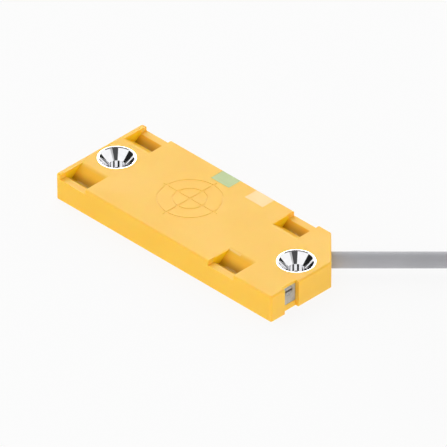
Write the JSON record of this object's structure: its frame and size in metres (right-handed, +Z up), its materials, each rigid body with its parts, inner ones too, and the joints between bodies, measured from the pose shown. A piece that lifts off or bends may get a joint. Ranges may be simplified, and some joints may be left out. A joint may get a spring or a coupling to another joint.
{
  "type": "capacitive proximity sensor",
  "caption": "Flat block capacitive proximity sensor with countersunk fixing bushes, status windows, a setting screw and a fixed round cable.",
  "frame": {"origin": "centre of the housing's underside, on the plane that the sensor rests on", "axes": "+X along the length towards the trimmer and the cable's end, +Y across towards the status windows, +Z up out of the face with the target mark"},
  "size_m": [0.1335, 0.0533, 0.013],
  "materials": {
    "housing_plastic": "satin moulded plastic, warm yellow",
    "bush_metal": "polished, nickel plated",
    "green_lens": "translucent pale green",
    "amber_lens": "translucent pale amber",
    "trimmer_case": "smooth grey",
    "screw_metal": "turned, nickel plated",
    "board": "solder mask over glass laminate",
    "copper": "bare copper",
    "contact_metal": "gilt brass",
    "package_black": "moulded epoxy",
    "tantalum_ochre": "moulded epoxy",
    "capacitor_tan": "fired ceramic",
    "lamp_green": "clear epoxy",
    "lamp_amber": "clear epoxy",
    "core_brown": "smooth insulation",
    "core_blue": "smooth insulation",
    "core_black": "smooth insulation",
    "solder": "bright tin",
    "sheath": "matt grey extruded sheath",
    "strap": "nylon"
  },
  "bodies": {
    "sensor": {"base_cover": "housing_plastic", "bush_left": "bush_metal", "bush_right": "bush_metal", "cable_clamp": "contact_metal", "cable_coil": "sheath", "cable_run": "sheath", "chip_capacitors": "capacitor_tan", "chip_resistors": "package_black", "circuit_board": "board", "coil_ties": "strap", "core_black": "core_black", "core_blue": "core_blue", "core_brown": "core_brown", "electrode_pin": "contact_metal", "electrode_plate": "copper", "guard_pin": "contact_metal", "guard_ring": "copper", "housing": "housing_plastic", "lead_black": "core_black", "lead_blue": "core_blue", "lead_brown": "core_brown", "lead_tips": "solder", "led_amber": "lamp_amber", "led_green": "lamp_green", "oscillator_chip": "package_black", "output_transistor": "package_black", "polarity_diode": "package_black", "regulator": "package_black", "solder_joints": "solder", "supply_capacitor": "tantalum_ochre", "surge_diode": "package_black", "trimmer_body": "trimmer_case", "window_amber": "amber_lens", "window_green": "green_lens"},
    "screw": {"trimmer_screw": "screw_metal"}
  },
  "joints": [
    {"name": "trimmer_turn", "type": "hinge", "parent": "sensor", "child": "screw", "pos_m": [0.0261, -0.00565, 0.0039], "axis": [1, 0, 0], "range_deg": [-130, 130]}
  ]
}
